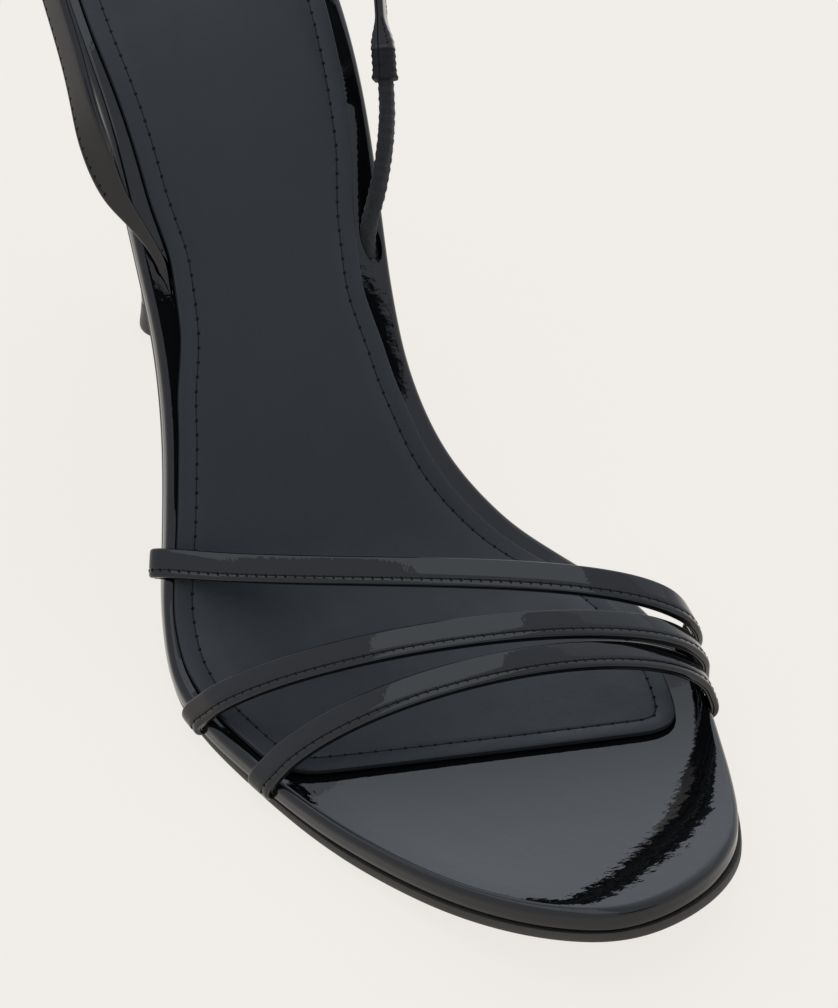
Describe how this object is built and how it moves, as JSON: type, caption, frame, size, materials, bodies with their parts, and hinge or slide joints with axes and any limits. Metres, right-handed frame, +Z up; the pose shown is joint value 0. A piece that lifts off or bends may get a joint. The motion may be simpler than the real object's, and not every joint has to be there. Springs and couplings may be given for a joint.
{
  "type": "open-toe sandal",
  "caption": "Right open-toe dress sandal with a high slim heel, narrow straps arched over the forefoot and a slingback round the heel of the foot.",
  "frame": {"origin": "on the floor under the ball of the foot, in the middle of the outsole's flat tread", "axes": "+X toward the toe, +Y toward the inner side of the foot, +Z up"},
  "size_m": [0.2021, 0.0855, 0.1532],
  "materials": {
    "outsole_leather": "smooth dark leather, matt, with a dyed edge",
    "patent_leather": "black patent, high gloss",
    "sock_leather": "soft black leather, satin, stitched round its edge",
    "elastic_cord": "black woven elastic, matt",
    "heel_cover": "black patent cover over a moulded heel, high gloss",
    "top_piece": "black moulded top piece, satin"
  },
  "bodies": {
    "root": {"outsole": "outsole_leather", "insole": "patent_leather", "sock": "sock_leather", "forefoot_strap_rear": "patent_leather", "forefoot_strap_middle": "patent_leather", "forefoot_strap_front": "patent_leather", "slingback_strap": "patent_leather", "elastic": "elastic_cord", "heel": "heel_cover", "heel_top_piece": "top_piece"}
  },
  "joints": []
}
